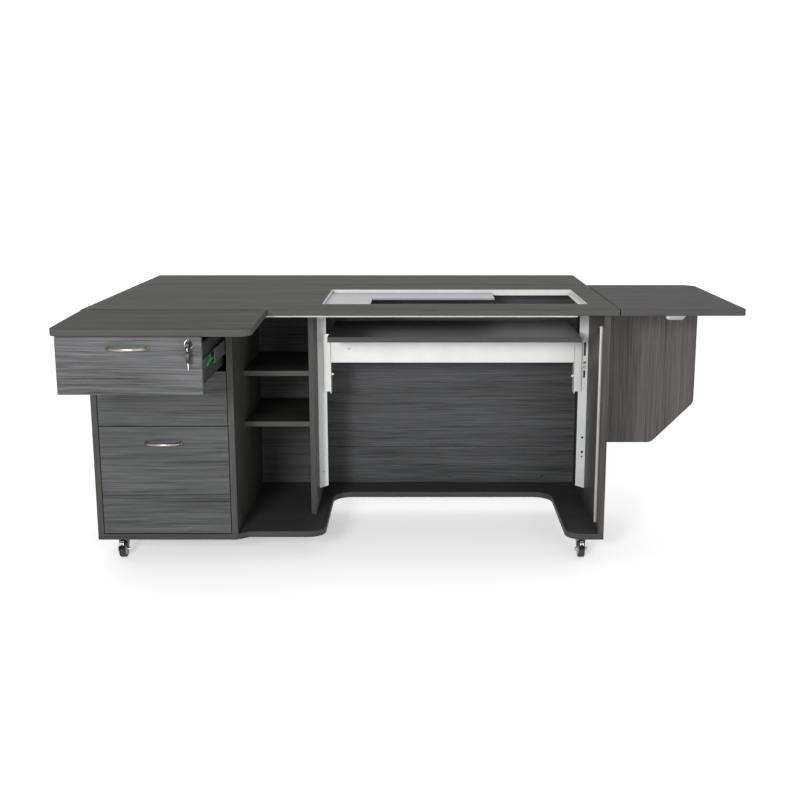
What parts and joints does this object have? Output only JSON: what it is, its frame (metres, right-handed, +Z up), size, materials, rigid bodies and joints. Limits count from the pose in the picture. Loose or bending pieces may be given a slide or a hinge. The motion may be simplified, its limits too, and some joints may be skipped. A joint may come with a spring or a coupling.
{
  "type": "sewing table",
  "caption": "Sewing table on locking casters with a machine lift in an opening, drawers, open shelves and fold-out leaves.",
  "frame": {"origin": "middle of the footprint of the whole table as it stands, on the floor", "axes": "+X along the table towards the side leaf, +Y from the sitter's side to the back leaf, +Z up"},
  "size_m": [1.886, 1.3516, 0.7665],
  "materials": {
    "grey_laminate": "satin woodgrain laminate, charcoal grey",
    "dark_laminate": "satin woodgrain laminate, dark charcoal",
    "warm_laminate": "satin woodgrain laminate, warm grey",
    "white_paint": "powder coat, off-white",
    "rail_grey": "satin light grey",
    "brushed_nickel": "brushed, warm nickel",
    "zinc_steel": "zinc plated",
    "black_plastic": "moulded, semi-matte",
    "wheel_rubber": "moulded tread",
    "acrylic": "frosted acrylic"
  },
  "bodies": {
    "cabinet": {"base_board": "dark_laminate", "left_side_panel": "grey_laminate", "drawer_partition": "grey_laminate", "knee_panel": "grey_laminate", "right_side_panel": "warm_laminate", "storage_back": "dark_laminate", "knee_back_lower": "dark_laminate", "knee_back_upper": "dark_laminate", "lower_shelf": "grey_laminate", "upper_shelf": "grey_laminate", "main_top": "grey_laminate", "opening_rim": "white_paint", "top_stiffener": "white_paint", "panel_strip": "rail_grey", "lift_rail_left": "rail_grey", "lift_rail_right": "rail_grey", "back_leaf_hinge": "zinc_steel", "side_leaf_hinge": "zinc_steel", "front_leaf_hinge": "zinc_steel", "gate_hinge": "zinc_steel", "gas_strut_left": "black_plastic", "gas_strut_right": "black_plastic", "top_slide_outer_left": "zinc_steel", "top_slide_outer_right": "zinc_steel"},
    "top_drawer": {"top_drawer_front": "grey_laminate", "top_drawer_box": "dark_laminate", "top_drawer_handle": "brushed_nickel", "drawer_lock": "zinc_steel", "top_slide_inner_left": "zinc_steel", "top_slide_inner_right": "zinc_steel"},
    "top_slide_middle": {"top_slide_middle_left": "zinc_steel", "top_slide_middle_right": "zinc_steel"},
    "key": {"key": "black_plastic"},
    "spare_key": {"spare_key": "zinc_steel"},
    "middle_drawer": {"middle_drawer_front": "grey_laminate", "middle_drawer_box": "dark_laminate", "middle_drawer_handle": "brushed_nickel"},
    "bottom_drawer": {"bottom_drawer_front": "grey_laminate", "bottom_drawer_box": "dark_laminate", "bottom_drawer_handle": "brushed_nickel"},
    "front_leaf": {"front_leaf": "grey_laminate"},
    "back_leaf": {"back_leaf": "grey_laminate"},
    "side_leaf": {"side_leaf": "warm_laminate", "gate_latch": "zinc_steel"},
    "gate": {"gate_panel": "warm_laminate"},
    "lift": {"lift_platform": "dark_laminate", "lift_beam": "white_paint", "lift_bracket_left": "white_paint", "lift_bracket_right": "white_paint"},
    "gas_rods": {"gas_rod_left": "zinc_steel", "gas_rod_right": "zinc_steel"},
    "insert": {"acrylic_insert": "acrylic"},
    "caster_1": {"caster_fork_1": "black_plastic"},
    "wheel_1": {"caster_wheel_1": "wheel_rubber"},
    "caster_2": {"caster_fork_2": "black_plastic"},
    "wheel_2": {"caster_wheel_2": "wheel_rubber"},
    "caster_3": {"caster_fork_3": "black_plastic"},
    "wheel_3": {"caster_wheel_3": "wheel_rubber"},
    "caster_4": {"caster_fork_4": "black_plastic"},
    "wheel_4": {"caster_wheel_4": "wheel_rubber"}
  },
  "joints": [
    {"name": "top_drawer_slide", "type": "slide", "parent": "cabinet", "child": "top_drawer", "axis": [0, -1, 0], "range_m": [-0.3485, 0.0515]},
    {"name": "top_slide_middle_slide", "type": "slide", "parent": "cabinet", "child": "top_slide_middle", "axis": [0, -1, 0], "range_m": [-0.17425, 0.02575]},
    {"name": "middle_drawer_slide", "type": "slide", "parent": "cabinet", "child": "middle_drawer", "axis": [0, -1, 0], "range_m": [0, 0.4]},
    {"name": "bottom_drawer_slide", "type": "slide", "parent": "cabinet", "child": "bottom_drawer", "axis": [0, -1, 0], "range_m": [0, 0.4]},
    {"name": "key_turn", "type": "hinge", "parent": "top_drawer", "child": "key", "pos_m": [-0.574, -0.6518, 0.718], "axis": [0, -1, 0], "range_deg": [0, 90]},
    {"name": "spare_key_swing", "type": "hinge", "parent": "key", "child": "spare_key", "pos_m": [-0.574, -0.6663, 0.718], "axis": [-1, 0, 0], "range_deg": [-4, 80]},
    {"name": "front_leaf_fold", "type": "hinge", "parent": "cabinet", "child": "front_leaf", "pos_m": [-0.678, -0.3267, 0.7655], "axis": [-1, 0, 0], "range_deg": [0, 182]},
    {"name": "back_leaf_drop", "type": "hinge", "parent": "cabinet", "child": "back_leaf", "pos_m": [-0.18, 0.3523, 0.7484], "axis": [-1, 0, 0], "range_deg": [0, 90]},
    {"name": "side_leaf_lift", "type": "hinge", "parent": "cabinet", "child": "side_leaf", "pos_m": [0.5845, 0.0008, 0.7484], "axis": [0, -1, 0], "range_deg": [0, 5]},
    {"name": "gate_swing", "type": "hinge", "parent": "cabinet", "child": "gate", "pos_m": [0.5666, 0.0219, 0.52], "axis": [0, 0, 1], "range_deg": [0, 90]},
    {"name": "machine_lift", "type": "slide", "parent": "cabinet", "child": "lift", "axis": [0, 0, 1], "range_m": [-0.25, 0.08]},
    {"name": "gas_rod_slide", "type": "slide", "parent": "cabinet", "child": "gas_rods", "axis": [0, 0, 1], "range_m": [-0.125, 0.04]},
    {"name": "insert_lift_out", "type": "slide", "parent": "cabinet", "child": "insert", "axis": [0, 0, 1], "range_m": [0, 0.12]},
    {"name": "caster_swivel_1", "type": "hinge", "parent": "cabinet", "child": "caster_1", "pos_m": [-0.881, -0.2212, 0.0736], "axis": [0, 0, 1], "continuous": true},
    {"name": "wheel_spin_1", "type": "hinge", "parent": "caster_1", "child": "wheel_1", "pos_m": [-0.881, -0.2382, 0.025], "axis": [-1, 0, 0], "continuous": true},
    {"name": "caster_swivel_2", "type": "hinge", "parent": "cabinet", "child": "caster_2", "pos_m": [0.505, -0.2212, 0.0736], "axis": [0, 0, 1], "continuous": true},
    {"name": "wheel_spin_2", "type": "hinge", "parent": "caster_2", "child": "wheel_2", "pos_m": [0.505, -0.2382, 0.025], "axis": [-1, 0, 0], "continuous": true},
    {"name": "caster_swivel_3", "type": "hinge", "parent": "cabinet", "child": "caster_3", "pos_m": [-0.881, 0.2148, 0.0736], "axis": [0, 0, 1], "continuous": true},
    {"name": "wheel_spin_3", "type": "hinge", "parent": "caster_3", "child": "wheel_3", "pos_m": [-0.88818, 0.23021, 0.025], "axis": [0.9063, 0.4226, 0], "continuous": true},
    {"name": "caster_swivel_4", "type": "hinge", "parent": "cabinet", "child": "caster_4", "pos_m": [0.505, 0.2148, 0.0736], "axis": [0, 0, 1], "continuous": true},
    {"name": "wheel_spin_4", "type": "hinge", "parent": "caster_4", "child": "wheel_4", "pos_m": [0.49919, 0.19883, 0.025], "axis": [-0.9397, 0.342, 0], "continuous": true}
  ],
  "couplings": [
    {"joint": "top_slide_middle_slide", "follows": "top_drawer_slide", "ratio": 0.5},
    {"joint": "gas_rod_slide", "follows": "machine_lift", "ratio": 0.5}
  ]
}
